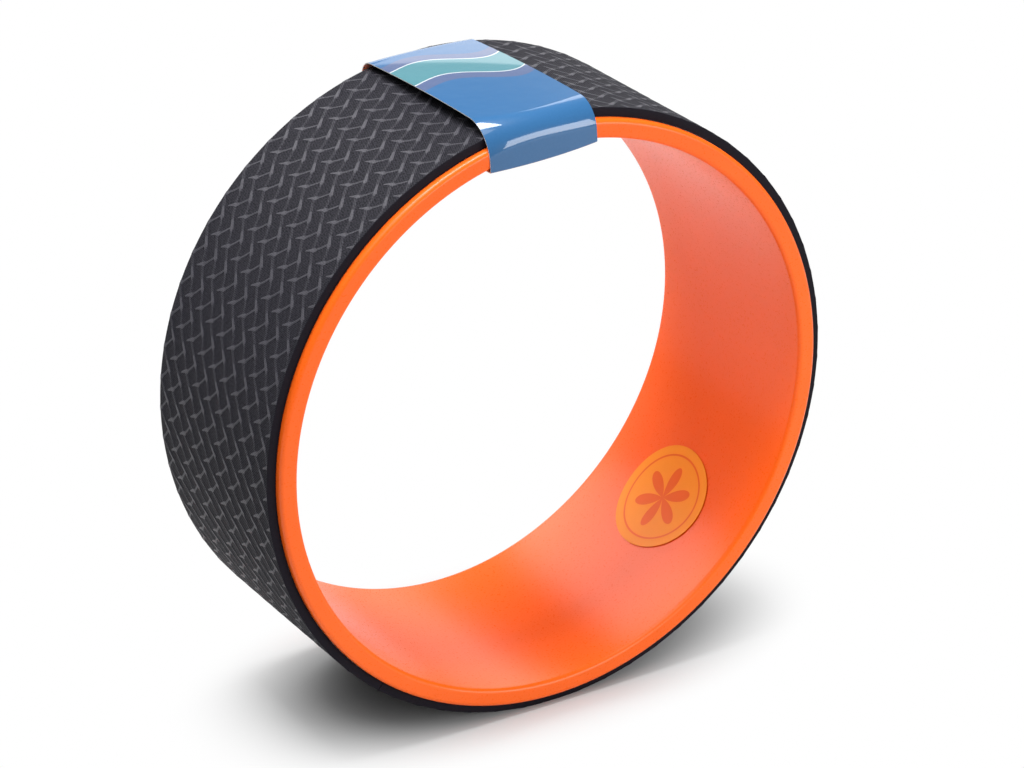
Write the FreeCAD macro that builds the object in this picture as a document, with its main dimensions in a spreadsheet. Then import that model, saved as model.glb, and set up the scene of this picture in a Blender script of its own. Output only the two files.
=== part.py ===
import FreeCAD, Part
import os
import Sketcher

# Yoga wheel: a moulded ring with a tapered bore, a foam tread bonded round it, a badge in the bore
# and a card sleeve that is wrapped round the ring's section and slides along it.
# The wheel's axis is Y through the origin and its front faces -Y.
# Angles round the axis are measured from +X towards +Z.

# Driving dimensions: lengths in millimetres, angles in degrees.
DIMENSIONS = {
    "ring_outer_radius": 159.8,
    "ring_wall": 10.0,
    "ring_width": 124.0,
    "ring_edge_radius": 2.5,
    "bore_draft": 1.55,
    "bond_gap": 0.1,
    "film_thickness": 0.2,
    "film_setback": 1.0,
    "pad_thickness": 4.9,
    "pad_setback": 4.4,
    "pad_edge_radius": 0.4,
    "seam_angle": 230.5,
    "seam_gap": 0.4,
    "rest_depth": 0.5,
    "badge_diameter": 60.8,
    "badge_thickness": 0.2,
    "badge_glue": 0.4,
    "badge_angle": 317.3,
    "badge_offset": 2.4,
    "sleeve_width": 61.5,
    "sleeve_angle": 93.7,
    "sleeve_tilt": 2.6,
    "sleeve_rise": 2.2,
    "card_thickness": 0.4,
    "side_clearance": 0.25,
    "corner_clearance": 0.3,
    "bore_clearance": 0.3,
    "fold_radius": 0.6,
    "slit_width": 0.5,
    "tape_length": 45.0,
    "tape_width": 20.0,
    "tape_thickness": 0.15,
}

# Lengths that follow from the driving dimensions, written for the sheet.
RING_DIAMETER = "(2 * Dimensions.ring_outer_radius)"
BORE_FRONT = "(Dimensions.ring_outer_radius - Dimensions.ring_wall)"
BORE_REAR = f"({BORE_FRONT} - Dimensions.ring_width * tan(Dimensions.bore_draft))"
FILM_INNER = "(Dimensions.ring_outer_radius + Dimensions.bond_gap)"
FILM_OUTER = f"({FILM_INNER} + Dimensions.film_thickness)"
PAD_OUTER = f"({FILM_OUTER} + Dimensions.pad_thickness)"
PAD_DIAMETER = f"(2 * {PAD_OUTER})"
PAD_WIDTH = "(Dimensions.ring_width - 2 * Dimensions.pad_setback)"
FILM_WIDTH = f"({PAD_WIDTH} - 2 * Dimensions.film_setback)"
REST_HEIGHT = f"({PAD_OUTER} - Dimensions.rest_depth)"
# The strip's ends stand apart by the seam's gap, measured on the tread.
STRIP_ANGLE = f"(360 - Dimensions.seam_gap / {PAD_OUTER} * 180 / pi)"
# Room inside the sleeve: depth along the axis and heights above the axis.
SLEEVE_DEPTH = "(Dimensions.ring_width + 2 * Dimensions.side_clearance)"
SLEEVE_HALF = "(Dimensions.sleeve_width / 2)"
SLEEVE_TOP = f"({PAD_OUTER} + Dimensions.sleeve_rise)"
TOP_HIGH_SIDE = (
    f"(({SLEEVE_TOP} + {SLEEVE_HALF} * sin(Dimensions.sleeve_tilt)) / cos(Dimensions.sleeve_tilt))"
)
BADGE_INSET = "(Dimensions.badge_glue + Dimensions.badge_thickness)"
LEG_REACH = f"({BORE_FRONT} - {BADGE_INSET} - Dimensions.bore_clearance)"
LEG_FRONT = f"sqrt({LEG_REACH} ^ 2 - {SLEEVE_HALF} ^ 2)"
LEG_REAR = f"({LEG_FRONT} - {SLEEVE_DEPTH} * tan(Dimensions.bore_draft))"
# The sleeve's bend is the largest arc that keeps the corner clearance round the tread's edge.
CORNER_SIDE = "(Dimensions.pad_setback + Dimensions.side_clearance - Dimensions.corner_clearance)"
CORNER_TOP = "(Dimensions.sleeve_rise - Dimensions.corner_clearance)"
BEND_RADIUS = (
    f"({CORNER_SIDE} + {CORNER_TOP} + Dimensions.corner_clearance"
    f" + sqrt(2 * {CORNER_SIDE} * {CORNER_TOP}))"
)
# The wedge that makes the top lean is drawn past the sleeve's low side, by as much as its width.
LEAN_REACH = f"({SLEEVE_HALF} + Dimensions.sleeve_width)"
LEAN_DROP = f"(({SLEEVE_HALF} + {LEAN_REACH}) * tan(Dimensions.sleeve_tilt))"
# Underside of the sleeve's inner leg at mid-depth, where the tape lies.
LEG_UNDERSIDE = (
    f"(({LEG_FRONT} + {LEG_REAR}) / 2 - Dimensions.card_thickness / cos(Dimensions.bore_draft))"
)
TAPE_HALF = "(Dimensions.tape_width / 2)"
TAPE_DROP = f"({TAPE_HALF} * tan(Dimensions.bore_draft))"

# Two places closer than this count as one.
TOUCH = 0.01

doc = FreeCAD.newDocument("yoga_wheel")


def fill_sheet():
    """Put every driving dimension in the sheet as a plain number with its name as alias."""
    sheet = doc.addObject("Spreadsheet::Sheet", "Dimensions")
    for row, (alias, value) in enumerate(DIMENSIONS.items(), start=1):
        sheet.set(f"A{row}", alias)
        sheet.set(f"B{row}", str(value))
        sheet.setAlias(f"B{row}", alias)
    doc.recompute()


def about_y(angle):
    """Expression for a turn about the wheel's axis."""
    return f"placement(vector(0; 0; 0); rotation(vector(0; 1; 0); {angle}))"


def new_body(label):
    body = doc.addObject("PartDesign::Body", label)
    body.Label = label
    return body


def new_sketch(body, name, role):
    """Sketch on one of the body's own origin planes."""
    plane = next(item for item in body.Origin.OriginFeatures if item.Role == role)
    sketch = body.newObject("Sketcher::SketchObject", name)
    sketch.AttachmentSupport = (plane, [""])
    sketch.MapMode = "FlatFace"
    return sketch


def origin():
    """Reference to a sketch's origin."""
    return -1, 1


def start(line):
    """Reference to a line's first point."""
    return line, 1


def end(line):
    """Reference to a line's last point."""
    return line, 2


def add_outline(sketch, corners):
    """Closed outline of straight lines through rough corners, which the dimensions then place."""
    points = [FreeCAD.Vector(x, y, 0) for x, y in corners]
    following = points[1:] + points[:1]
    lines = [sketch.addGeometry(Part.LineSegment(a, b)) for a, b in zip(points, following)]
    for line, after in zip(lines, lines[1:] + lines[:1]):
        sketch.addConstraint(Sketcher.Constraint("Coincident", *end(line), *start(after)))
    return lines


def align(sketch, direction, *lines):
    """Keep lines horizontal or vertical."""
    for line in lines:
        sketch.addConstraint(Sketcher.Constraint(direction, line))


def mirror_ends(sketch, line, about):
    """Keep a line's ends mirrored about the sketch's horizontal or vertical axis."""
    axis = {"Horizontal": -1, "Vertical": -2}[about]
    sketch.addConstraint(Sketcher.Constraint("Symmetric", *start(line), *end(line), axis))


def bind(sketch, name, kind, first, second, expression):
    """Driving distance between two points, tied to the sheet."""
    index = sketch.addConstraint(Sketcher.Constraint(kind, *first, *second, 1.0))
    sketch.renameConstraint(index, name)
    sketch.setExpression(f"Constraints.{name}", expression)


def draw_section(sketch, outer, bore_front, bore_rear, width):
    """Section of a round band: two bore radii and a width, level with the wheel's mid-plane."""
    wall, rear, bore, front = add_outline(sketch, ((2, -1), (2, 1), (1, 1), (1, -1)))
    align(sketch, "Horizontal", rear, front)
    mirror_ends(sketch, wall, "Horizontal")
    bind(sketch, "outer_radius", "DistanceX", origin(), start(wall), outer)
    bind(sketch, "band_width", "DistanceY", start(wall), end(wall), width)
    bind(sketch, "rear_radius", "DistanceX", origin(), start(bore), bore_rear)
    bind(sketch, "front_radius", "DistanceX", origin(), start(front), bore_front)


def revolve(body, sketch, name, angle):
    """Turn a section about the wheel's axis, evenly to both sides of the sketch."""
    turned = body.newObject("PartDesign::Revolution", name)
    turned.Profile = sketch
    turned.ReferenceAxis = (sketch, ["V_Axis"])
    turned.Midplane = True
    turned.setExpression("Angle", angle)
    doc.recompute()
    return turned


def extrude(body, sketch, kind, name, length):
    """Pad or pocket of a sketch, evenly to both sides of its plane."""
    feature = body.newObject(f"PartDesign::{kind}", name)
    feature.Profile = sketch
    feature.SideType = "Symmetric"
    feature.setExpression("Length", length)
    doc.recompute()
    return feature


def cut(body, sketch, name, length, before):
    """Pocket that has to take something away and leave something."""
    pocket = extrude(body, sketch, "Pocket", name, length)
    if not 0 < pocket.Shape.Volume < before.Shape.Volume:
        raise RuntimeError(f"{name} removes nothing from {before.Label}")
    return pocket


def edge_names(feature, wanted):
    """Names of the feature's edges that pass a test."""
    edges = feature.Shape.Edges
    return [f"Edge{number}" for number, edge in enumerate(edges, start=1) if wanted(edge)]


def face_names(feature, wanted):
    """Names of the feature's faces that pass a test."""
    faces = feature.Shape.Faces
    return [f"Face{number}" for number, face in enumerate(faces, start=1) if wanted(face)]


def round_edges(body, feature, name, names, radius):
    rounded = body.newObject("PartDesign::Fillet", name)
    rounded.Base = (feature, names)
    rounded.setExpression("Radius", radius)
    doc.recompute()
    return rounded


def is_round(edge):
    return isinstance(edge.Curve, Part.Circle)


def make_core_ring():
    """The moulded ring: solid wall, bore narrowing to the rear, all four rims rounded."""
    body = new_body("core_ring")
    sketch = new_sketch(body, "ring_section", "XY_Plane")
    draw_section(
        sketch, "Dimensions.ring_outer_radius", BORE_FRONT, BORE_REAR, "Dimensions.ring_width"
    )
    ring = revolve(body, sketch, "ring_turned", "360")
    round_edges(body, ring, "ring_rims", edge_names(ring, is_round), "Dimensions.ring_edge_radius")
    return body


def make_strip(label, inner, outer, width):
    """A strip wrapped round the ring, whose ends meet at the seam."""
    body = new_body(label)
    sketch = new_sketch(body, f"{label}_section", "XY_Plane")
    sketch.setExpression("AttachmentOffset", about_y("180 - Dimensions.seam_angle"))
    draw_section(sketch, outer, inner, inner, width)
    strip = revolve(body, sketch, f"{label}_wrapped", STRIP_ANGLE)
    return body, strip


def make_adhesive_film():
    """Double-sided film between ring and tread, set back from the tread's edges."""
    body, _ = make_strip("adhesive_film", FILM_INNER, FILM_OUTER, FILM_WIDTH)
    return body


def make_tread_pad():
    """Foam tread: rounded along both outer edges and pressed flat where it rests on the floor."""
    body, strip = make_strip("tread_pad", FILM_OUTER, PAD_OUTER, PAD_WIDTH)
    widest = max(edge.Curve.Radius for edge in strip.Shape.Edges if is_round(edge))
    outer = edge_names(strip, lambda edge: is_round(edge) and edge.Curve.Radius > widest - TOUCH)
    rounded = round_edges(body, strip, "tread_edges", outer, "Dimensions.pad_edge_radius")

    sketch = new_sketch(body, "rest_outline", "XZ_Plane")
    low, _, high, _ = add_outline(sketch, ((-1, -2), (1, -2), (1, -1), (-1, -1)))
    mirror_ends(sketch, low, "Vertical")
    mirror_ends(sketch, high, "Vertical")
    bind(sketch, "low_width", "DistanceX", start(low), end(low), PAD_DIAMETER)
    bind(sketch, "high_width", "DistanceX", end(high), start(high), PAD_DIAMETER)
    bind(sketch, "low_depth", "DistanceY", start(low), origin(), PAD_DIAMETER)
    bind(sketch, "rest_height", "DistanceY", start(high), origin(), REST_HEIGHT)
    cut(body, sketch, "rest_flat", "Dimensions.ring_width", rounded)
    return body


def make_cone(name, inset):
    """The bore's cone, drawn in by an inset."""
    cone = doc.addObject("Part::Cone", name)
    cone.setExpression("Radius1", f"{BORE_FRONT} - {inset}")
    cone.setExpression("Radius2", f"{BORE_REAR} - {inset}")
    cone.setExpression("Height", "Dimensions.ring_width")
    cone.setExpression(
        "Placement",
        "placement(vector(0; -Dimensions.ring_width / 2; 0); rotation(vector(1; 0; 0); -90))",
    )
    return cone


def make_inner_badge():
    """Round film on the bore: a thin skin of the bore's cone, cut out by a radial cylinder."""
    skin = doc.addObject("Part::Cut", "badge_skin")
    skin.Base = make_cone("badge_outside", "Dimensions.badge_glue")
    skin.Tool = make_cone("badge_inside", BADGE_INSET)
    punch = doc.addObject("Part::Cylinder", "badge_punch")
    punch.setExpression("Radius", "Dimensions.badge_diameter / 2")
    punch.setExpression("Height", "Dimensions.ring_outer_radius")
    punch.setExpression(
        "Placement",
        "placement(vector(0; Dimensions.badge_offset; 0);"
        " rotation(vector(0; 1; 0); 90 - Dimensions.badge_angle))",
    )
    badge = doc.addObject("Part::Common", "inner_badge")
    badge.Base = skin
    badge.Tool = punch
    badge.Label = "inner_badge"
    return badge


def draw_room(sketch):
    """Side view of the room inside the sleeve, up to its high side."""
    low, rear, top, front = add_outline(sketch, ((-1, 2), (1, 2), (1, 3), (-1, 3)))
    align(sketch, "Vertical", rear, front)
    mirror_ends(sketch, top, "Vertical")
    bind(sketch, "sleeve_depth", "DistanceX", end(top), start(top), SLEEVE_DEPTH)
    bind(sketch, "front_height", "DistanceY", origin(), start(low), LEG_FRONT)
    bind(sketch, "rear_height", "DistanceY", origin(), end(low), LEG_REAR)
    bind(sketch, "top_height", "DistanceY", origin(), start(top), TOP_HIGH_SIDE)


def draw_lean(sketch):
    """Front view of the wedge that is taken off the room so that its top leans."""
    lean, outside, above, inside = add_outline(sketch, ((-1, 3), (2, 2), (2, 4), (-1, 4)))
    align(sketch, "Vertical", outside, inside)
    align(sketch, "Horizontal", above)
    bind(sketch, "left_reach", "DistanceX", start(lean), origin(), SLEEVE_HALF)
    bind(sketch, "left_height", "DistanceY", origin(), start(lean), TOP_HIGH_SIDE)
    bind(sketch, "right_reach", "DistanceX", origin(), end(lean), LEAN_REACH)
    bind(sketch, "lean_drop", "DistanceY", end(lean), start(lean), LEAN_DROP)
    bind(sketch, "above_height", "DistanceY", origin(), start(above), PAD_DIAMETER)


def draw_slit(sketch):
    """Plan of the slit that parts the card's two ends, right across the sleeve."""
    near, right, far, left = add_outline(sketch, ((-2, -1), (2, -1), (2, 1), (-2, 1)))
    align(sketch, "Horizontal", near, far)
    align(sketch, "Vertical", right, left)
    sketch.addConstraint(Sketcher.Constraint("Symmetric", *start(near), *start(far), *origin()))
    bind(sketch, "slit_length", "DistanceX", start(near), end(near), RING_DIAMETER)
    bind(sketch, "slit_width", "DistanceY", start(right), end(right), "Dimensions.slit_width")


def cross_edges(feature, upper):
    """Edges that run across the sleeve at its front and rear, in its upper or its lower half."""
    box = feature.Shape.BoundBox

    def wanted(edge):
        middle = edge.CenterOfMass
        crosses = abs(middle.x) < TOUCH and abs(middle.y) > box.YMax - TOUCH
        return crosses and (middle.z > box.Center.z) == upper

    return edge_names(feature, wanted)


def make_label_sleeve():
    """Card band round the ring's section: its room is modelled first, then wrapped in card.

    The top leans by the tilt, the inner leg follows the bore's taper, and a slit parts the
    band's two ends under the tape.
    """
    body = new_body("label_sleeve")
    body.setExpression("Placement", about_y("90 - Dimensions.sleeve_angle"))
    sketch = new_sketch(body, "sleeve_room", "YZ_Plane")
    draw_room(sketch)
    room = extrude(body, sketch, "Pad", "sleeve_block", "Dimensions.sleeve_width")
    sketch = new_sketch(body, "lean_outline", "XZ_Plane")
    draw_lean(sketch)
    leaning = cut(body, sketch, "sleeve_lean", f"2 * {SLEEVE_DEPTH}", room)
    bent = round_edges(body, leaning, "sleeve_bends", cross_edges(leaning, True), BEND_RADIUS)
    folded = round_edges(
        body, bent, "sleeve_folds", cross_edges(bent, False), "Dimensions.fold_radius"
    )

    card = body.newObject("PartDesign::Thickness", "sleeve_card")
    open_sides = face_names(folded, lambda face: abs(face.normalAt(0, 0).x) > 1 - TOUCH)
    card.Base = (folded, open_sides)
    card.setExpression("Value", "Dimensions.card_thickness")
    card.Reversed = False
    doc.recompute()

    sketch = new_sketch(body, "slit_outline", "XY_Plane")
    draw_slit(sketch)
    cut(body, sketch, "sleeve_slit", RING_DIAMETER, card)
    return body


def make_closing_tape():
    """Clear tape across the slit, flat against the underside of the sleeve's inner leg."""
    body = new_body("closing_tape")
    body.setExpression("Placement", about_y("90 - Dimensions.sleeve_angle"))
    sketch = new_sketch(body, "tape_section", "YZ_Plane")
    low, rear, high, front = add_outline(sketch, ((-1, 2), (1, 2), (1, 3), (-1, 3)))
    align(sketch, "Vertical", rear, front)
    sketch.addConstraint(Sketcher.Constraint("Parallel", low, high))
    bind(sketch, "tape_width", "DistanceX", start(low), end(low), "Dimensions.tape_width")
    bind(sketch, "front_reach", "DistanceX", start(low), origin(), TAPE_HALF)
    bind(sketch, "front_height", "DistanceY", origin(), end(high), f"{LEG_UNDERSIDE} + {TAPE_DROP}")
    bind(sketch, "rear_height", "DistanceY", origin(), start(high), f"{LEG_UNDERSIDE} - {TAPE_DROP}")
    bind(sketch, "tape_thickness", "DistanceY", start(rear), end(rear), "Dimensions.tape_thickness")
    extrude(body, sketch, "Pad", "tape_strip", "Dimensions.tape_length")
    return body


def check_document(sub_parts):
    """Every object has to be sound, and every sub-part one valid solid."""
    for item in doc.Objects:
        if {"Invalid", "Error"} & set(item.State):
            raise RuntimeError(f"{item.Label} failed: {item.State}")
    for item in sub_parts:
        shape = item.Shape
        if shape.isNull() or not shape.isValid() or len(shape.Solids) != 1:
            raise RuntimeError(f"{item.Label} is not one valid solid")


def write_parts(sub_parts):
    os.makedirs("parts", exist_ok=True)
    for item in sub_parts:
        item.Shape.exportStep(f"parts/{item.Label}.step")
        print(f"{item.Label}: {item.Shape.Volume:.1f} mm3")


fill_sheet()
pieces = [
    make_core_ring(),
    make_adhesive_film(),
    make_tread_pad(),
    make_inner_badge(),
    make_label_sleeve(),
    make_closing_tape(),
]
doc.recompute()
check_document(pieces)
write_parts(pieces)
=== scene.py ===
"""Yoga wheel: the looks of the wheel and its card sleeve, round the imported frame. Metres throughout."""

import math

import bpy
import numpy as np
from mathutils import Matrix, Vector
from mathutils.geometry import delaunay_2d_cdt


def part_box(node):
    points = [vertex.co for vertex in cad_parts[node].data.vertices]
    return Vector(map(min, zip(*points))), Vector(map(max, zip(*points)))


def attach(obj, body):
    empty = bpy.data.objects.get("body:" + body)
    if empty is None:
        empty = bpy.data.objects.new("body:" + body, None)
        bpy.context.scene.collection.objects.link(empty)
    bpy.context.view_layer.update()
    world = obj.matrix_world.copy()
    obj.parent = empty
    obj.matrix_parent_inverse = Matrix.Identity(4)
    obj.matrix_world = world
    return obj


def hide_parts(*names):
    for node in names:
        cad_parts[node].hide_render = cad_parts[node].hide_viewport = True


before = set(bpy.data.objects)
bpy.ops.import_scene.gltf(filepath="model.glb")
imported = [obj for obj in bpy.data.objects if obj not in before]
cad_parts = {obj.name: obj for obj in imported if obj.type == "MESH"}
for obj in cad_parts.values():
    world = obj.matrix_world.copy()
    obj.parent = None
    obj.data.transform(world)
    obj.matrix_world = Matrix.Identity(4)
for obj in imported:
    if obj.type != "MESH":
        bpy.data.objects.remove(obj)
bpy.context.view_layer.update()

MM = 0.001

# Sizes read from the frame.
tread_low, tread_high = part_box("tread_pad")
film_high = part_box("adhesive_film")[1]
ring_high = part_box("core_ring")[1]
sleeve_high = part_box("label_sleeve")[1]
badge_low, badge_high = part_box("inner_badge")
TREAD_RADIUS = tread_high.x
TREAD_INNER_RADIUS = film_high.x
TREAD_HALF_WIDTH = tread_high.y
FLOOR_HEIGHT = tread_low.z
RING_RADIUS = ring_high.x
RING_HALF_WIDTH = ring_high.y
SLEEVE_HALF_DEPTH = sleeve_high.y
BADGE_CENTRE = (badge_low + badge_high) / 2

# The tread's strip: its butt seam, the end that lifts there, and its rounded edges.
SEAM_ANGLE = math.radians(230.5)
SEAM_GAP = 0.4 * MM
STRIP_LENGTH = 2 * math.pi * TREAD_RADIUS - SEAM_GAP
LIFT_HEIGHT = 0.3 * MM
LIFT_LENGTH = 6 * MM
TREAD_EDGE_RADIUS = 0.35 * MM
EDGE_TURNS = (math.pi / 6, math.pi / 3, math.pi / 2)
FACE_HALF_WIDTH = TREAD_HALF_WIDTH - TREAD_EDGE_RADIUS

# The moulded relief: where crest, slope and pointed foot end, in half-widths of a stroke.
RELIEF_HEIGHT = 0.18 * MM
CREST_SHARE = 0.65
SLOPE_SHARE = 0.83
TIP_REACH = 1.6
RELIEF_SHARP_ANGLE = math.radians(16)

# The repeat of the zigzag pattern, along the strip (u) and across it (v).
PATTERN_COLUMNS = 61
COLUMN_WIDTH = STRIP_LENGTH / PATTERN_COLUMNS
NEAR_COLUMNS = range(-4, 4)
PATTERN_ROWS = range(-4, 10)
ROW_STEP_U = 2.3 * MM
ROW_STEP_V = 12.75 * MM
NODE_ANGLE = math.radians(132.36)
NODE_V = -32.0 * MM
REPEAT_REACH = 20 * MM
STROKE_SAMPLES = 60

# The flat mesh of one column: the grain that its points keep to, and what counts as on a border.
GRAIN = 0.01 * MM
SLACK = 0.1 * GRAIN
BORDER_SNAP = 3 * GRAIN
BORDER_STEPS = 4

# The columns in the table of the strip's points.
U, V, RADIUS, RELIEF, DOTS = range(5)

# The ring's section: its wall at the front, the bore's taper and the rounded edges.
RING_WALL = 10.0 * MM
BORE_DRAFT = math.radians(1.55)
BORE_FRONT = RING_RADIUS - RING_WALL
BORE_REAR = BORE_FRONT - 2 * RING_HALF_WIDTH * math.tan(BORE_DRAFT)
OUTER_EDGE = 2.5 * MM
BORE_EDGE = 2.5 * MM
EDGE_STEPS = 10
RUN_STEPS = 6
RING_STEPS = 480

# The sleeve, a band of card round the ring's section: its place, its size and its lean.
SLEEVE_ANGLE = math.radians(93.7)
SLEEVE_WIDTH = 61.5 * MM
SLEEVE_TOP = 167.6 * MM
SLEEVE_TILT = math.radians(2.6)
CARD = 0.4 * MM
CARD_SHARP_ANGLE = math.radians(50)

# The sleeve's top: crowned across, and falling and arching towards the rear.
SLEEVE_CROWN = 0.8 * MM
SLEEVE_FALL = 0.026
SLEEVE_ARCH = 0.4

# The sleeve's leg in the bore, and the slit in it between the card's two ends.
LEG_FRONT = 145.29 * MM
LEG_REAR = 141.92 * MM
SLIT_HALF = 0.25 * MM

# The sleeve's bow in front, its folds, and its bends, of which the front one widens to the sides.
FRONT_BOW = 2.5 * MM
FOLD_RADIUS = 1.0 * MM
FRONT_BEND = 12.5 * MM
BEND_GROWTH = 3.5 * MM
BEND_SKEW = 2.0 * MM
REAR_BEND = 10.3 * MM

# Points across the sleeve and along its section.
SLEEVE_STEPS = 41
FOLD_STEPS = 7
FRONT_STEPS = 14
FRONT_BEND_STEPS = 24
TOP_STEPS = 40
REAR_BEND_STEPS = 18
SIDE_STEPS = 12

# The print on the sleeve: bands by their middle along the card, half-width and colour.
PRINT_EDGE = 0.3 * MM
WAVE_LENGTH = 70 * MM
WAVE_PHASE = 0.6
WAVE_SWING = 9 * MM
WAVES = (
    (163 * MM, 22 * MM, (0.085, 0.120, 0.235, 1)),
    (163 * MM, 13 * MM, (0.56, 0.59, 0.62, 1)),
    (163 * MM, 12 * MM, (0.075, 0.225, 0.265, 1)),
)

# The badge: a rosette inside a thin ring.
BADGE_ANGLE = math.radians(317.3)
PETAL_PAIRS = 3
PETAL_LENGTH = 19 * MM
BADGE_RING = 25 * MM
BADGE_RING_HALF = 0.4 * MM

# Colours, in pairs where a surface varies between two.
RING_ORANGES = ((0.96, 0.130, 0.009, 1), (1.0, 0.145, 0.012, 1))
TREAD_GROUNDS = ((0.001, 0.001, 0.002, 1), (0.035, 0.034, 0.043, 1))
TREAD_RIDGES = ((0.026, 0.025, 0.032, 1), (0.067, 0.065, 0.080, 1))
TREAD_SIDES = ((0.007, 0.006, 0.009, 1), (0.018, 0.016, 0.022, 1))
FILM_WHITES = ((0.72, 0.71, 0.66, 1), (0.88, 0.88, 0.84, 1))
BADGE_GOLDS = ((0.98, 0.33, 0.018, 1), (1.0, 0.36, 0.026, 1))
BADGE_MOTIF = (0.86, 0.15, 0.012, 1)
SLEEVE_BLUES = ((0.028, 0.115, 0.265, 1), (0.036, 0.132, 0.300, 1))
CARD_GREYS = ((0.55, 0.55, 0.54, 1), (0.74, 0.74, 0.72, 1))
TAPE_TINT = (0.95, 0.95, 0.92, 1)
FLOOR_PAINT = (0.55, 0.55, 0.55, 1)
WHITE = (1, 1, 1, 1)

# Finishes: roughness and gloss, in pairs where a surface varies, and the depth of the fine bumps.
RING_ROUGHNESS = (0.27, 0.32)
RING_GLOSS = 0.28
RING_BUMP = 0.0005 * MM
TREAD_ROUGHNESS = (0.60, 0.45)
TREAD_GLOSS = (0.04, 0.2)
TREAD_BUMP = 0.12 * MM
FILM_ROUGHNESS = (0.45, 0.65)
BADGE_ROUGHNESS = (0.32, 0.42)
BADGE_GLOSS = 0.15
BADGE_BUMP = 0.01 * MM
PRINT_ROUGHNESS = (0.30, 0.36)
PRINT_GLOSS = 0.15
PRINT_BUMP = 0.16 * MM
LAMINATE_ROUGHNESS = 0.04
CARD_ROUGHNESS = 0.85
CARD_BUMP = 0.02 * MM
TAPE_ROUGHNESS = (0.08, 0.22)
TAPE_IOR = 1.45

# The tread's texture: the pitch of its weave, and how strongly each part of it shows.
WEAVE_PITCH = 0.68 * MM
BEAD_DEPTH = 0.9
GRAIN_SHARE = 0.6
RIDGE_SHARE = 0.4
PORE_SHARE = 0.15

# Stretches of a noise or a mesh value over which a finish changes.
FULL_SPAN = (0.0, 1.0)
WIDE_SPAN = (0.2, 0.8)
NARROW_SPAN = (0.3, 0.7)
SCUFF_SPAN = (0.3, 0.75)

# The studio: the camera, the floor that runs out into white, and the fill.
SENSOR_WIDTH = 36.0
LENS = 130.2
CAMERA_PLACE = (-0.90696, -1.48876, 0.81143)
CAMERA_DIP = math.radians(25.07)
CAMERA_TURN = math.radians(-31.643)
FLOOR_REACH = 40 * TREAD_RADIUS
FLOOR_FADE_STRETCH = 1.9
FLOOR_FADE = (0.050, 0.105)
FILL_STRENGTH = 0.05

# The softboxes: name, place, aim, size, and power in watts.
SOFTBOXES = (
    ("top_softbox", (-0.26, 0.10, 2.00), (-0.26, 0.10, 0.00), (1.1, 0.9), 62),
    ("rear_left_softbox", (-0.40, 1.50, 1.25), (0.00, 0.00, 0.00), (1.3, 1.0), 20),
    ("rear_right_softbox", (1.35, 1.10, 1.00), (0.00, 0.00, 0.00), (0.9, 0.9), 6),
    ("backdrop_glow", (0.20, 1.60, 0.35), (0.20, 0.00, 0.35), (3.0, 0.7), 8),
    ("left_softbox", (-0.70, -0.60, 1.75), (0.00, 0.00, 0.00), (1.2, 1.2), 12),
    ("right_softbox", (0.94, -1.76, 0.38), (0.00, 0.00, 0.00), (1.5, 0.75), 26),
)


def lerp(a, b, share):
    """The value that lies a share of the way from a to b."""
    return a + (b - a) * share


def smooth_step(x):
    """0 below 0, 1 above 1, and a smooth rise between."""
    x = np.clip(x, 0.0, 1.0)
    return x * x * (3 - 2 * x)


def bezier(start, bend, end, count):
    """Points of a quadratic curve."""
    share = np.linspace(0, 1, count)[:, None]
    start, bend, end = np.array(start), np.array(bend), np.array(end)
    return (1 - share) ** 2 * start + 2 * share * (1 - share) * bend + share**2 * end


def arc(centre, radius, start, end, count):
    """Points of an arc, in degrees from the first axis of its plane towards the second."""
    turn = np.radians(np.linspace(start, end, count))
    return np.stack([centre[0] + radius * np.cos(turn), centre[1] + radius * np.sin(turn)], axis=1)


def straight(start, end, count):
    """Points inside a straight run, without its ends."""
    share = np.linspace(0, 1, count + 2)[1:-1, None]
    return np.array(start) * (1 - share) + np.array(end) * share


def new_object(name, vertices, faces):
    """A mesh object with smooth shading, linked to the scene."""
    mesh = bpy.data.meshes.new(name)
    mesh.from_pydata([tuple(v) for v in vertices], [], [tuple(f) for f in faces])
    mesh.shade_smooth()
    obj = bpy.data.objects.new(name, mesh)
    bpy.context.scene.collection.objects.link(obj)
    return obj


def lay_flat(mesh, name, places):
    """A UV map that gives each corner of the mesh its point's place on the flat sheet."""
    corners = np.zeros(len(mesh.loops), int)
    mesh.loops.foreach_get("vertex_index", corners)
    mesh.uv_layers.new(name=name).data.foreach_set("uv", places[corners].ravel())


def sheet_faces(grid):
    """Quads between the neighbouring points of a grid."""
    quads = np.stack([grid[:-1, :-1], grid[:-1, 1:], grid[1:, 1:], grid[1:, :-1]], axis=-1)
    return quads.reshape(-1, 4).tolist()


def stroke(start, bend, end, half_widths, heights, dotted, count):
    """One raised stroke of the pattern: its path, and its half-width and height from end to end."""
    share = np.linspace(0, 1, count)
    return {
        "path": bezier(start, bend, end, count) * MM,
        "half": lerp(*half_widths, share) * MM,
        "height": lerp(*heights, share),
        "dotted": dotted,
    }


def pattern_strokes():
    """The strokes of one repeat, in millimetres from its lower node, along the strip and towards the rear."""
    upper = (7.1, -7.9)
    following = (17.0, 0.0)
    return [
        stroke((0.4, -0.8), (3.2, -4.6), upper, (0.75, 0.75), (0.75, 0.75), 0.3, 3),
        stroke((6.3, -8.9), (7.8, -7.7), (10.4, -5.4), (1.55, 1.00), (1.0, 0.9), 0.0, 3),
        stroke((0.9, -1.5), (0.3, 0.6), (-1.7, 4.2), (1.55, 0.45), (1.0, 0.8), 0.0, 4),
        stroke(upper, (12.2, -4.2), following, (1.30, 1.30), (0.60, 0.60), 1.0, 3),
        stroke((1.0, 0.6), (5.2, 0.8), (9.4, 4.85), (1.05, 1.05), (0.50, 0.50), 1.0, 3),
    ]


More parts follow.
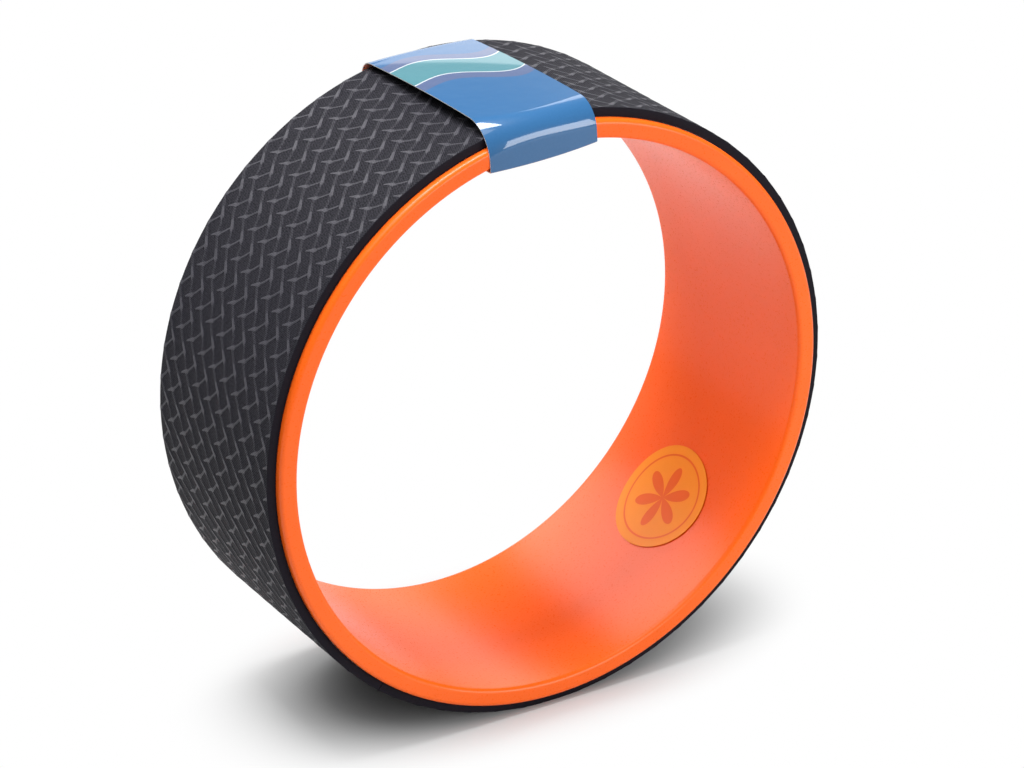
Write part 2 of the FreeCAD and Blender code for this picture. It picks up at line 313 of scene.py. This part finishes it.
def stroke_contours(piece, shift):
    """The stroke's foot line all round, pointed at both ends, and its crest lines: the mesh follows them."""
    path = piece["path"] + shift
    along = np.gradient(path, axis=0)
    along /= np.linalg.norm(along, axis=1)[:, None]
    side = np.stack([-along[:, 1], along[:, 0]], axis=1) * piece["half"][:, None]
    reach = TIP_REACH * piece["half"]
    tips = np.stack([path[0] - along[0] * reach[0], path[-1] + along[-1] * reach[-1]])
    foot = np.concatenate([tips[:1], path + side, tips[1:], (path - side)[::-1], tips[:1]])
    crests = [path + side * share for share in (-CREST_SHARE, CREST_SHARE)]
    return [foot] + crests


def repeat_shifts():
    """Where the lower node of each repeat lies that reaches into one column of the strip."""
    node_u = (SEAM_ANGLE - NODE_ANGLE) * TREAD_RADIUS % COLUMN_WIDTH
    return [
        np.array((node_u + ROW_STEP_U * row + COLUMN_WIDTH * column, NODE_V + ROW_STEP_V * row))
        for row in PATTERN_ROWS
        for column in NEAR_COLUMNS
    ]


def sampled(piece):
    """The stroke's path, half-widths and heights at close steps."""
    steps = np.arange(len(piece["path"]))
    fine = np.linspace(0, len(steps) - 1, STROKE_SAMPLES)
    path = np.stack([np.interp(fine, steps, piece["path"][:, axis]) for axis in (0, 1)], axis=1)
    return path, np.interp(fine, steps, piece["half"]), np.interp(fine, steps, piece["height"])


def relief_at(points, strokes, shifts):
    """Height of the pattern, 0 to 1, and how dotted it is, at points of the flat strip."""
    height = np.zeros(len(points))
    dotted = np.zeros(len(points))
    for shift in shifts:
        near = np.abs(points - shift).max(axis=1) < REPEAT_REACH
        if not near.any():
            continue
        for piece in strokes:
            path, half, tall = sampled(piece)
            gap = np.linalg.norm(points[near][:, None] - (path + shift)[None], axis=2)
            rise = tall * smooth_step((SLOPE_SHARE * half - gap) / ((SLOPE_SHARE - CREST_SHARE) * half))
            best = rise.max(axis=1)
            higher = best > height[near]
            height[near] = np.where(higher, best, height[near])
            dotted[near] = np.where(higher, piece["dotted"], dotted[near])
    return height, dotted


def clipped(start, end, low, high):
    """The part of a straight run that lies inside a rectangle, or None."""
    first, last = 0.0, 1.0
    run = end - start
    for axis in (0, 1):
        if run[axis] == 0:
            if not low[axis] <= start[axis] <= high[axis]:
                return None
            continue
        shares = sorted(((low[axis] - start[axis]) / run[axis], (high[axis] - start[axis]) / run[axis]))
        first = max(first, shares[0])
        last = min(last, shares[1])
    if last <= first:
        return None
    return start + run * first, start + run * last


def on_border(points, axis, border, slack):
    """Numbers of the points on one border of a rectangle, in their order along it."""
    found = np.flatnonzero(np.abs(points[:, axis] - border) < slack)
    return found[np.argsort(points[found, 1 - axis])]


def border_rows(points, border):
    """Places along one side of a column, in whole grains, of the points that lie on it."""
    rows = points[on_border(points, 0, border, SLACK), 1]
    return set(np.round(rows / GRAIN).astype(int).tolist())


def triangulate(points, edges, low, high):
    """Triangles between points of a rectangle that keep the edges and its four borders."""
    edges = list(edges)
    for axis in (0, 1):
        for border in (low[axis], high[axis]):
            chain = on_border(points, axis, border, GRAIN)
            points[chain, axis] = border
            edges.extend(zip(chain[:-1], chain[1:]))
    kept = [(int(a), int(b)) for a, b in edges if a != b]
    flat = [Vector(p) for p in points]
    made, _, triangles, _, _, _ = delaunay_2d_cdt(flat, kept, [], 0, SLACK)
    made = np.array([tuple(p) for p in made])
    keys = np.round(made / GRAIN).astype(int)
    _, first, merged = np.unique(keys, axis=0, return_index=True, return_inverse=True)
    triangles = merged.reshape(-1)[np.array(triangles)]
    a, b, c = triangles.T
    return made[first], triangles[(a != b) & (b != c) & (c != a)]


def column_mesh(strokes, shifts):
    """Flat triangles of one column of the strip's face, with the lines of the strokes as edges."""
    low = np.array((0.0, -FACE_HALF_WIDTH))
    high = np.array((COLUMN_WIDTH, FACE_HALF_WIDTH))
    places = {}
    edges = []

    def place(point):
        """The number of a point, with points closer than the grain taken as one and borders kept exact."""
        key = tuple(int(round(c / GRAIN)) for c in point)
        for axis in (0, 1):
            for border in (low[axis], high[axis]):
                if abs(point[axis] - border) < BORDER_SNAP:
                    key = key[:axis] + (int(round(border / GRAIN)),) + key[axis + 1 :]
        return places.setdefault(key, len(places))

    for share in np.linspace(0, 1, BORDER_STEPS + 1):
        for border in (low[1], high[1]):
            place((share * COLUMN_WIDTH, border))
    contours = [line for shift in shifts for piece in strokes for line in stroke_contours(piece, shift)]
    for contour in contours:
        for start, end in zip(contour[:-1], contour[1:]):
            run = clipped(start, end, low, high)
            if run is not None:
                edges.append((place(run[0]), place(run[1])))
    sides = (0, int(round(COLUMN_WIDTH / GRAIN)))
    rows = {v for u, v in places if u in sides}
    while True:
        for row in sorted(rows):
            for side in sides:
                places.setdefault((side, row), len(places))
        made, triangles = triangulate(np.array(list(places), float) * GRAIN, edges, low, high)
        left = border_rows(made, low[0])
        right = border_rows(made, high[0])
        if left == right:
            return made, triangles
        rows |= left | right


def repeat_columns(flat, relief, dots):
    """The table of the face's points: one column of the pattern, repeated from end to end of the strip."""
    radius = TREAD_RADIUS - RELIEF_HEIGHT * (1 - relief)
    column = np.stack([flat[:, 0], flat[:, 1], radius, relief, dots], axis=1)
    strip = np.tile(column, (PATTERN_COLUMNS, 1))
    strip[:, U] += COLUMN_WIDTH * np.repeat(np.arange(PATTERN_COLUMNS), len(flat))
    return strip


def column_numbers(flat):
    """Numbers of the points of every column, where neighbouring columns share a border."""
    numbers = np.arange(PATTERN_COLUMNS * len(flat)).reshape(PATTERN_COLUMNS, len(flat))
    left = on_border(flat, 0, 0.0, SLACK)
    right = on_border(flat, 0, COLUMN_WIDTH, SLACK)
    numbers[:-1, right] = numbers[1:, left]
    return numbers


def edge_rows(border, side):
    """Points of the rounded edge and the side wall along one border of the strip, row by row."""
    rows = []
    for turn in EDGE_TURNS:
        row = border.copy()
        row[:, V] = side * (TREAD_HALF_WIDTH - TREAD_EDGE_RADIUS * (1 - math.sin(turn)))
        row[:, RADIUS] -= TREAD_EDGE_RADIUS * (1 - math.cos(turn))
        row[:, [RELIEF, DOTS]] = 0
        rows.append(row)
    wall = rows[-1].copy()
    wall[:, RADIUS] = TREAD_INNER_RADIUS
    return rows + [wall]


def wall_faces(rows, side):
    """Quads between neighbouring rows of one border, facing outwards."""
    faces = []
    for near, far in zip(rows[:-1], rows[1:]):
        quads = np.stack([far[:-1], far[1:], near[1:], near[:-1]], axis=1)
        faces.extend((quads if side < 0 else quads[:, ::-1]).tolist())
    return faces


def inner_faces(front, rear, u):
    """Triangles of the bonded face, between the strip's two inner edges."""
    faces = []
    i, j = 0, 0
    while i < len(front) - 1 or j < len(rear) - 1:
        take_front = j == len(rear) - 1 or (i < len(front) - 1 and u[front[i + 1]] <= u[rear[j + 1]])
        if take_front:
            faces.append((front[i], rear[j], front[i + 1]))
            i += 1
        else:
            faces.append((front[i], rear[j], rear[j + 1]))
            j += 1
    return faces


def end_faces(flat, numbers, rims):
    """The two cut ends of the strip, which meet at the seam."""
    faces = []
    for end, border in ((0, 0.0), (-1, COLUMN_WIDTH)):
        across = numbers[end, on_border(flat, 0, border, SLACK)].tolist()
        cap = across + [row[end] for row in rims[1][1:]] + [row[end] for row in rims[-1][:0:-1]]
        faces.append(cap if end == 0 else cap[::-1])
    return faces


def strip_to_wheel(strip):
    """Points of the strip laid round the wheel from the seam, with the end lifted and the floor's flat."""
    lift = LIFT_HEIGHT * smooth_step(1 - (STRIP_LENGTH - strip[:, U]) / LIFT_LENGTH) ** 2
    radius = strip[:, RADIUS] + lift
    angle = SEAM_ANGLE - (SEAM_GAP / 2 + strip[:, U]) / TREAD_RADIUS
    height = np.maximum(radius * np.sin(angle), FLOOR_HEIGHT)
    return np.stack([radius * np.cos(angle), strip[:, V], height], axis=1)


def tread_object(strip, faces):
    """The strip as an object round the wheel, with the values that its material reads at each point."""
    used = np.unique(np.concatenate([np.asarray(face) for face in faces]))
    renumber = np.full(len(strip), -1)
    renumber[used] = np.arange(len(used))
    strip = strip[used]
    tread = new_object("tread_strip", strip_to_wheel(strip), [renumber[list(face)] for face in faces])
    mesh = tread.data
    mesh.set_sharp_from_angle(angle=RELIEF_SHARP_ANGLE)
    skin = np.clip((TREAD_HALF_WIDTH - np.abs(strip[:, V])) / TREAD_EDGE_RADIUS, 0, 1)
    for name, values in (("relief", strip[:, RELIEF]), ("dots", strip[:, DOTS]), ("skin", skin)):
        mesh.attributes.new(name, "FLOAT", "POINT").data.foreach_set("value", values.copy())
    lay_flat(mesh, "strip", strip[:, [U, V]])
    return tread


def build_tread():
    """The foam strip with its moulded pattern, closed on all sides, with its two ends at the seam."""
    strokes = pattern_strokes()
    shifts = repeat_shifts()
    flat, triangles = column_mesh(strokes, shifts)
    relief, dots = relief_at(flat, strokes, shifts)
    strip = repeat_columns(flat, relief, dots)
    numbers = column_numbers(flat)
    faces = numbers[:, triangles].reshape(-1, 3).tolist()
    rims = {}
    for side in (-1, 1):
        border = on_border(flat, 1, side * FACE_HALF_WIDTH, SLACK)
        chain = np.append(numbers[:, border[:-1]].ravel(), numbers[-1, border[-1]])
        rows = [chain]
        for row in edge_rows(strip[chain], side):
            rows.append(np.arange(len(strip), len(strip) + len(row)))
            strip = np.concatenate([strip, row])
        faces.extend(wall_faces(rows, side))
        rims[side] = rows
    faces.extend(inner_faces(rims[-1][-1], rims[1][-1], strip[:, U]))
    faces.extend(end_faces(flat, numbers, rims))
    return tread_object(strip, faces)


def ring_section():
    """The ring's section: radius and depth, from the front's outer edge through the bore and back."""
    front, back = -RING_HALF_WIDTH, RING_HALF_WIDTH
    draft = math.degrees(BORE_DRAFT)
    corners = (
        ((RING_RADIUS - OUTER_EDGE, front + OUTER_EDGE), OUTER_EDGE, 0, -90),
        ((BORE_FRONT + BORE_EDGE, front + BORE_EDGE), BORE_EDGE, 270, 180 + draft),
        ((BORE_REAR + BORE_EDGE, back - BORE_EDGE), BORE_EDGE, 180 + draft, 90),
        ((RING_RADIUS - OUTER_EDGE, back - OUTER_EDGE), OUTER_EDGE, 90, 0),
    )
    rounds = [arc(centre, radius, start, end, EDGE_STEPS) for centre, radius, start, end in corners]
    runs = [straight(a[-1], b[0], RUN_STEPS) for a, b in zip(rounds, rounds[1:] + rounds[:1])]
    return np.concatenate([piece for pair in zip(rounds, runs) for piece in pair])


def build_ring():
    """The moulded ring, its rounded section turned about the wheel's axis."""
    section = ring_section()
    turns = np.linspace(0, 2 * math.pi, RING_STEPS, endpoint=False)
    radius, depth = section[:, 0], section[:, 1]
    x = np.cos(turns)[:, None] * radius
    z = np.sin(turns)[:, None] * radius
    points = np.stack([x, np.broadcast_to(depth, x.shape), z], axis=-1).reshape(-1, 3)
    ids = np.arange(x.size).reshape(x.shape)
    after = np.roll(ids, -1, axis=0)
    quads = np.stack([ids, np.roll(ids, -1, axis=1), np.roll(after, -1, axis=1), after], axis=-1)
    return new_object("moulded_ring", points, quads.reshape(-1, 4).tolist())


def sleeve_top(across, depth):
    """Height of the card's outer face over the tread, at a share across the sleeve and a depth."""
    tilt = math.tan(SLEEVE_TILT) * across * SLEEVE_WIDTH / 2
    crown = SLEEVE_CROWN * (1 - across**2)
    return SLEEVE_TOP + tilt + crown - SLEEVE_FALL * depth - SLEEVE_ARCH * depth**2


def leg_height(depth):
    """Height of the outer face of the leg inside the bore, which follows the bore's taper."""
    return lerp(LEG_FRONT, LEG_REAR, (depth + SLEEVE_HALF_DEPTH) / (2 * SLEEVE_HALF_DEPTH))


def sleeve_section(across, inset):
    """The card's face round the ring's section: depth and height, from the slit forwards, up and back."""
    front = SLEEVE_HALF_DEPTH + FRONT_BOW * (1 - across**2) - inset
    back = SLEEVE_HALF_DEPTH - inset
    fold = FOLD_RADIUS - inset
    bend = FRONT_BEND + (BEND_GROWTH + BEND_SKEW * across) * across**2 - inset
    rear_bend = REAR_BEND - inset
    top_front = sleeve_top(across, bend - front) - inset
    top_rear = sleeve_top(across, back - rear_bend) - inset
    leg_front = leg_height(-front) + inset
    leg_rear = leg_height(back) + inset
    slit_front = (-SLIT_HALF, leg_height(-SLIT_HALF) + inset)
    slit_rear = (SLIT_HALF, leg_height(SLIT_HALF) + inset)
    front_fold = arc((fold - front, leg_front + fold), fold, 270, 180, FOLD_STEPS)
    front_bend = arc((bend - front, top_front - bend), bend, 180, 90, FRONT_BEND_STEPS)
    depths = np.linspace(bend - front, back - rear_bend, TOP_STEPS)[1:-1]
    top = np.stack([depths, sleeve_top(across, depths) - inset], axis=1)
    back_bend = arc((back - rear_bend, top_rear - rear_bend), rear_bend, 90, 0, REAR_BEND_STEPS)
    back_fold = arc((back - fold, leg_rear + fold), fold, 0, -90, FOLD_STEPS)
    runs = [
        [slit_front],
        straight(slit_front, front_fold[0], SIDE_STEPS),
        front_fold,
        straight(front_fold[-1], front_bend[0], FRONT_STEPS),
        front_bend,
        top,
        back_bend,
        straight(back_bend[-1], back_fold[0], SIDE_STEPS),
        back_fold,
        straight(back_fold[-1], slit_rear, SIDE_STEPS),
        [slit_rear],
    ]
    return np.concatenate(runs)


def build_sleeve():
    """The card band as a thin closed shell, open at the slit under its tape."""
    shares = np.linspace(-1, 1, SLEEVE_STEPS)
    outward = np.array((math.cos(SLEEVE_ANGLE), 0, math.sin(SLEEVE_ANGLE)))
    sideways = np.array((-math.sin(SLEEVE_ANGLE), 0, math.cos(SLEEVE_ANGLE)))
    depthways = np.array((0, 1, 0))
    points = []
    lengths = []
    for inset in (0, CARD):
        for share in shares:
            section = sleeve_section(share, inset)
            lengths.append(np.append(0, np.cumsum(np.linalg.norm(np.diff(section, axis=0), axis=1))))
            place = section[:, :1] * depthways + section[:, 1:] * outward
            points.append(place + share * SLEEVE_WIDTH / 2 * sideways)
    count = len(points[0])
    ids = np.arange(2 * SLEEVE_STEPS * count).reshape(2, SLEEVE_STEPS, count)
    outer = sheet_faces(ids[0])
    inner = sheet_faces(ids[1][:, ::-1])
    rims = []
    for step, flip in ((0, 1), (SLEEVE_STEPS - 1, -1)):
        rims += sheet_faces(np.stack([ids[1, step], ids[0, step]])[::flip])
    for end, flip in ((0, -1), (count - 1, 1)):
        rims += sheet_faces(np.stack([ids[0, :, end], ids[1, :, end]])[::flip].T[:, ::-1])
    sleeve = new_object("card_band", np.concatenate(points), outer + inner + rims)
    mesh = sleeve.data
    mesh.set_sharp_from_angle(angle=CARD_SHARP_ANGLE)
    mesh.polygons.foreach_set("material_index", [0] * len(outer) + [1] * (len(inner) + len(rims)))
    across = np.repeat(np.tile(shares * SLEEVE_WIDTH / 2, 2), count)
    lay_flat(mesh, "print", np.stack([across, np.concatenate(lengths)], axis=1))
    return sleeve


def new_material(name):
    """A material with a fresh principled shader: its node tree and that shader."""
    material = bpy.data.materials.new(name)
    material.use_nodes = True
    tree = material.node_tree
    return material, tree, tree.nodes["Principled BSDF"]


def feed(tree, made, inputs):
    """Gives a node its inputs, by name or number: each is a socket to link or a value to set."""
    for key, value in inputs.items():
        if isinstance(value, bpy.types.NodeSocket):
            tree.links.new(value, made.inputs[key])
        else:
            made.inputs[key].default_value = value


def node(tree, kind, inputs=None, **settings):
    """A new node with its settings and its inputs."""
    made = tree.nodes.new(kind)
    for name, value in settings.items():
        setattr(made, name, value)
    feed(tree, made, inputs or {})
    return made


def maths(tree, operation, *terms):
    """The output of a math node."""
    return node(tree, "ShaderNodeMath", dict(enumerate(terms)), operation=operation).outputs[0]


def weigh(tree, first, second, share):
    """A share of the first value and the rest of the second."""
    rest = maths(tree, "MULTIPLY", second, 1 - share)
    return maths(tree, "MULTIPLY_ADD", first, share, rest)


def distance(tree, x, y):
    """How far a point of a plane lies from the middle."""
    squares = maths(tree, "MULTIPLY_ADD", x, x, maths(tree, "MULTIPLY", y, y))
    return maths(tree, "SQRT", squares)


def blend(tree, share, first, second):
    """A colour that goes from the first to the second with the share."""
    return node(tree, "ShaderNodeMix", {0: share, 6: first, 7: second}, data_type="RGBA").outputs[2]


def ramp(tree, value, span, ends=(0.0, 1.0)):
    """A smooth change from one end to the other while the value crosses the span."""
    inputs = dict(enumerate((value, *span, *ends)))
    return node(tree, "ShaderNodeMapRange", inputs, interpolation_type="SMOOTHSTEP").outputs[0]


def noise(tree, place, scale, detail):
    """A grey noise pattern, 0 to 1."""
    inputs = {"Vector": place, "Scale": scale, "Detail": detail}
    return node(tree, "ShaderNodeTexNoise", inputs).outputs[0]


def bump(tree, height, depth):
    """A surface normal raised by a height of 0 to 1 times the depth in metres."""
    inputs = {"Strength": 1.0, "Distance": depth, "Height": height}
    return node(tree, "ShaderNodeBump", inputs).outputs[0]


def object_place(tree):
    """Points of the surface in the wheel's frame, in metres."""
    return node(tree, "ShaderNodeTexCoord").outputs["Object"]


def sheet_place(tree, name):
    """Points of the surface on the flat sheet that it was bent from, in metres."""
    return node(tree, "ShaderNodeUVMap", uv_map=name).outputs[0]


def attribute(tree, name):
    """A number that the mesh carries at its points."""
    return node(tree, "ShaderNodeAttribute", attribute_name=name).outputs["Fac"]


def flat_axes(tree, place):
    """The first two coordinates of a place."""
    axes = node(tree, "ShaderNodeSeparateXYZ", {0: place})
    return axes.outputs[0], axes.outputs[1]


def camera_sees(tree):
    """1 where the camera looks straight at the surface, 0 for light on its way."""
    return node(tree, "ShaderNodeLightPath").outputs["Is Camera Ray"]


def ring_plastic():
    """Glossy orange plastic with the faint waviness and the fine scuffs of a moulding."""
    material, tree, shader = new_material("ring_plastic")
    place = object_place(tree)
    shade = ramp(tree, noise(tree, place, scale=9.0, detail=2.0), NARROW_SPAN)
    scuffs = noise(tree, place, scale=900.0, detail=3.0)
    waviness = noise(tree, place, scale=1500.0, detail=1.0)
    finish = {
        "Base Color": blend(tree, shade, *RING_ORANGES),
        "Roughness": ramp(tree, scuffs, SCUFF_SPAN, RING_ROUGHNESS),
        "Specular IOR Level": RING_GLOSS,
        "Normal": bump(tree, waviness, RING_BUMP),
    }
    feed(tree, shader, finish)
    return material


def linen(tree, strip):
    """A plain weave of over and under threads, 0 to 1, on the flat strip."""
    turns = [maths(tree, "MULTIPLY", axis, math.pi / WEAVE_PITCH) for axis in flat_axes(tree, strip)]
    warp, weft = (maths(tree, "SINE", turn) for turn in turns)
    return maths(tree, "MULTIPLY_ADD", maths(tree, "MULTIPLY", warp, weft), 0.5, 0.5)


def tread_foam():
    """Matt foamed elastomer: lighter, smoother ridges on a grainy linen ground, and dark cut sides."""
    material, tree, shader = new_material("tread_foam")
    strip = sheet_place(tree, "strip")
    relief, dots, skin = (attribute(tree, name) for name in ("relief", "dots", "skin"))
    weave = linen(tree, strip)
    grain = noise(tree, strip, scale=1000.0, detail=2.0)
    pores = noise(tree, object_place(tree), scale=1800.0, detail=2.0)
    beads = maths(tree, "MULTIPLY", dots, ramp(tree, weave, NARROW_SPAN, (BEAD_DEPTH, 0.0)))
    raised = maths(tree, "MULTIPLY", relief, maths(tree, "SUBTRACT", 1.0, beads))
    speckle = ramp(tree, weigh(tree, grain, weave, GRAIN_SHARE), NARROW_SPAN)
    ground = blend(tree, speckle, *TREAD_GROUNDS)
    ridge = blend(tree, speckle, *TREAD_RIDGES)
    face = blend(tree, raised, ground, ridge)
    side = blend(tree, pores, *TREAD_SIDES)
    moulded = maths(tree, "MULTIPLY", skin, weigh(tree, raised, speckle, RIDGE_SHARE))
    height = maths(tree, "MULTIPLY_ADD", pores, PORE_SHARE, moulded)
    finish = {
        "Base Color": blend(tree, skin, side, face),
        "Roughness": ramp(tree, raised, FULL_SPAN, TREAD_ROUGHNESS),
        "Specular IOR Level": ramp(tree, raised, FULL_SPAN, TREAD_GLOSS),
        "Normal": bump(tree, height, TREAD_BUMP),
    }
    feed(tree, shader, finish)
    return material


def bonding_film():
    """Off-white double-sided film, with the faint mottle of its adhesive."""
    material, tree, shader = new_material("bonding_film")
    mottle = noise(tree, object_place(tree), scale=180.0, detail=3.0)
    finish = {
        "Base Color": blend(tree, mottle, *FILM_WHITES),
        "Roughness": ramp(tree, mottle, WIDE_SPAN, FILM_ROUGHNESS),
    }
    feed(tree, shader, finish)
    return material


def rosette(tree, local):
    """1 on the badge's petals and its thin ring, 0 beside them."""
    x, y = flat_axes(tree, local)
    reach = distance(tree, x, y)
    turn = maths(tree, "MULTIPLY", maths(tree, "ARCTAN2", y, x), PETAL_PAIRS)
    petal = maths(tree, "ABSOLUTE", maths(tree, "COSINE", turn))
    inside = maths(tree, "SUBTRACT", maths(tree, "MULTIPLY", petal, PETAL_LENGTH), reach)
    petals = ramp(tree, inside, (0.0, PRINT_EDGE))
    from_ring = maths(tree, "ABSOLUTE", maths(tree, "SUBTRACT", reach, BADGE_RING))
    ring = ramp(tree, from_ring, (BADGE_RING_HALF, BADGE_RING_HALF + PRINT_EDGE), (1.0, 0.0))
    return maths(tree, "MAXIMUM", petals, ring)


def badge_film():
    """Golden satin film with a plain six-petalled rosette inside a thin ring, both a shade deeper."""
    material, tree, shader = new_material("badge_film")
    facing = {
        "Vector": object_place(tree),
        "Location": BADGE_CENTRE,
        "Rotation": (0, math.pi / 2 - BADGE_ANGLE, 0),
    }
    local = node(tree, "ShaderNodeMapping", facing, vector_type="TEXTURE").outputs[0]
    grain = noise(tree, local, scale=900.0, detail=2.0)
    gold = blend(tree, grain, *BADGE_GOLDS)
    finish = {
        "Base Color": blend(tree, rosette(tree, local), gold, BADGE_MOTIF),
        "Roughness": ramp(tree, grain, WIDE_SPAN, BADGE_ROUGHNESS),
        "Specular IOR Level": BADGE_GLOSS,
        "Normal": bump(tree, grain, BADGE_BUMP),
    }
    feed(tree, shader, finish)
    return material


def wave_band(tree, across, length, middle, half):
    """1 inside a band that flows across the card in a wave, 0 outside it."""
    turn = maths(tree, "MULTIPLY_ADD", across, 2 * math.pi / WAVE_LENGTH, WAVE_PHASE)
    swing = maths(tree, "MULTIPLY", maths(tree, "SINE", turn), WAVE_SWING)
    gap = maths(tree, "SUBTRACT", maths(tree, "SUBTRACT", length, middle), swing)
    return ramp(tree, maths(tree, "ABSOLUTE", gap), (half, half + PRINT_EDGE), (1.0, 0.0))


def sleeve_print():
    """Gloss-laminated blue card, printed on top with plain flowing bands in teal, white and grey-blue."""
    material, tree, shader = new_material("sleeve_print")
    printed = sheet_place(tree, "print")
    across, length = flat_axes(tree, printed)
    fibre = noise(tree, printed, scale=700.0, detail=3.0)
    ripple = noise(tree, printed, scale=90.0, detail=1.5)
    colour = blend(tree, fibre, *SLEEVE_BLUES)
    for middle, half, tint in WAVES:
        colour = blend(tree, wave_band(tree, across, length, middle, half), colour, tint)
    finish = {
        "Base Color": colour,
        "Roughness": ramp(tree, fibre, WIDE_SPAN, PRINT_ROUGHNESS),
        "Specular IOR Level": PRINT_GLOSS,
        "Coat Weight": 1.0,
        "Coat Roughness": LAMINATE_ROUGHNESS,
        "Normal": bump(tree, ripple, PRINT_BUMP),
    }
    feed(tree, shader, finish)
    return material


def card_stock():
    """The plain grey-white inside and the cut edges of the card."""
    material, tree, shader = new_material("card_stock")
    fibre = noise(tree, object_place(tree), scale=900.0, detail=4.0)
    finish = {
        "Base Color": blend(tree, fibre, *CARD_GREYS),
        "Roughness": CARD_ROUGHNESS,
        "Normal": bump(tree, fibre, CARD_BUMP),
    }
    feed(tree, shader, finish)
    return material


def clear_tape():
    """Clear packing tape, with the faint streaks of its adhesive."""
    material, tree, shader = new_material("clear_tape")
    streaks = noise(tree, object_place(tree), scale=250.0, detail=2.0)
    finish = {
        "Base Color": TAPE_TINT,
        "Roughness": ramp(tree, streaks, WIDE_SPAN, TAPE_ROUGHNESS),
        "Transmission Weight": 1.0,
        "IOR": TAPE_IOR,
    }
    feed(tree, shader, finish)
    return material


def dress_node(name, material):
    """Gives a CAD node its finished material."""
    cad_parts[name].material_slots[0].material = material


def floor_white():
    """Matt white that keeps the shadow near the wheel and runs out into plain white further off."""
    material, tree, shader = new_material("floor_white")
    tree.nodes.remove(shader)
    matt = node(tree, "ShaderNodeBsdfDiffuse", {"Color": FLOOR_PAINT}).outputs[0]
    glow = node(tree, "ShaderNodeEmission", {"Color": WHITE, "Strength": 1.0}).outputs[0]
    x, y = flat_axes(tree, object_place(tree))
    reach = distance(tree, maths(tree, "DIVIDE", x, FLOOR_FADE_STRETCH), y)
    share = maths(tree, "MULTIPLY", ramp(tree, reach, FLOOR_FADE), camera_sees(tree))
    mix = node(tree, "ShaderNodeMixShader", {0: share, 1: matt, 2: glow}).outputs[0]
    feed(tree, tree.nodes["Material Output"], {"Surface": mix})
    return material


def build_floor():
    """A plain white floor under the wheel."""
    sides = ((-1, -1), (1, -1), (1, 1), (-1, 1))
    corners = [(x * FLOOR_REACH, y * FLOOR_REACH, FLOOR_HEIGHT) for x, y in sides]
    floor = new_object("floor", corners, [(0, 1, 2, 3)])
    floor.data.materials.append(floor_white())


def build_surroundings():
    """White where the camera looks past the wheel, and a soft grey fill for everything else."""
    world = bpy.data.worlds.new("studio")
    world.use_nodes = True
    tree = world.node_tree
    fill = tree.nodes["Background"]
    feed(tree, fill, {"Color": WHITE, "Strength": FILL_STRENGTH})
    white = node(tree, "ShaderNodeBackground", {"Color": WHITE, "Strength": 1.0})
    inputs = {0: camera_sees(tree), 1: fill.outputs[0], 2: white.outputs[0]}
    mix = node(tree, "ShaderNodeMixShader", inputs).outputs[0]
    feed(tree, tree.nodes["World Output"], {"Surface": mix})
    bpy.context.scene.world = world


def add_softbox(name, place, aim, size, power):
    """A rectangular softbox at a place, turned to a point."""
    lamp = bpy.data.lights.new(name, "AREA")
    lamp.shape = "RECTANGLE"
    lamp.size, lamp.size_y = size
    lamp.energy = power
    box = bpy.data.objects.new(name, lamp)
    box.location = place
    box.rotation_euler = (Vector(aim) - Vector(place)).to_track_quat("-Z", "Y").to_euler()
    bpy.context.scene.collection.objects.link(box)


def add_camera():
    """The camera at the photo's angle and distance."""
    lens = bpy.data.cameras.new("camera")
    lens.sensor_width = SENSOR_WIDTH
    lens.lens = LENS
    camera = bpy.data.objects.new("camera", lens)
    camera.location = CAMERA_PLACE
    camera.rotation_euler = (math.pi / 2 - CAMERA_DIP, 0, CAMERA_TURN)
    bpy.context.scene.collection.objects.link(camera)
    bpy.context.scene.camera = camera


tread = build_tread()
tread.data.materials.append(tread_foam())
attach(tread, "wheel")
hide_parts("tread_pad")

sleeve = build_sleeve()
sleeve.data.materials.append(sleeve_print())
sleeve.data.materials.append(card_stock())
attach(sleeve, "sleeve")
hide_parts("label_sleeve")

ring = build_ring()
ring.data.materials.append(ring_plastic())
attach(ring, "wheel")
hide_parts("core_ring")

dress_node("adhesive_film", bonding_film())
dress_node("inner_badge", badge_film())
dress_node("closing_tape", clear_tape())

build_floor()
build_surroundings()
for softbox in SOFTBOXES:
    add_softbox(*softbox)
add_camera()
bpy.context.scene.view_settings.view_transform = "Standard"
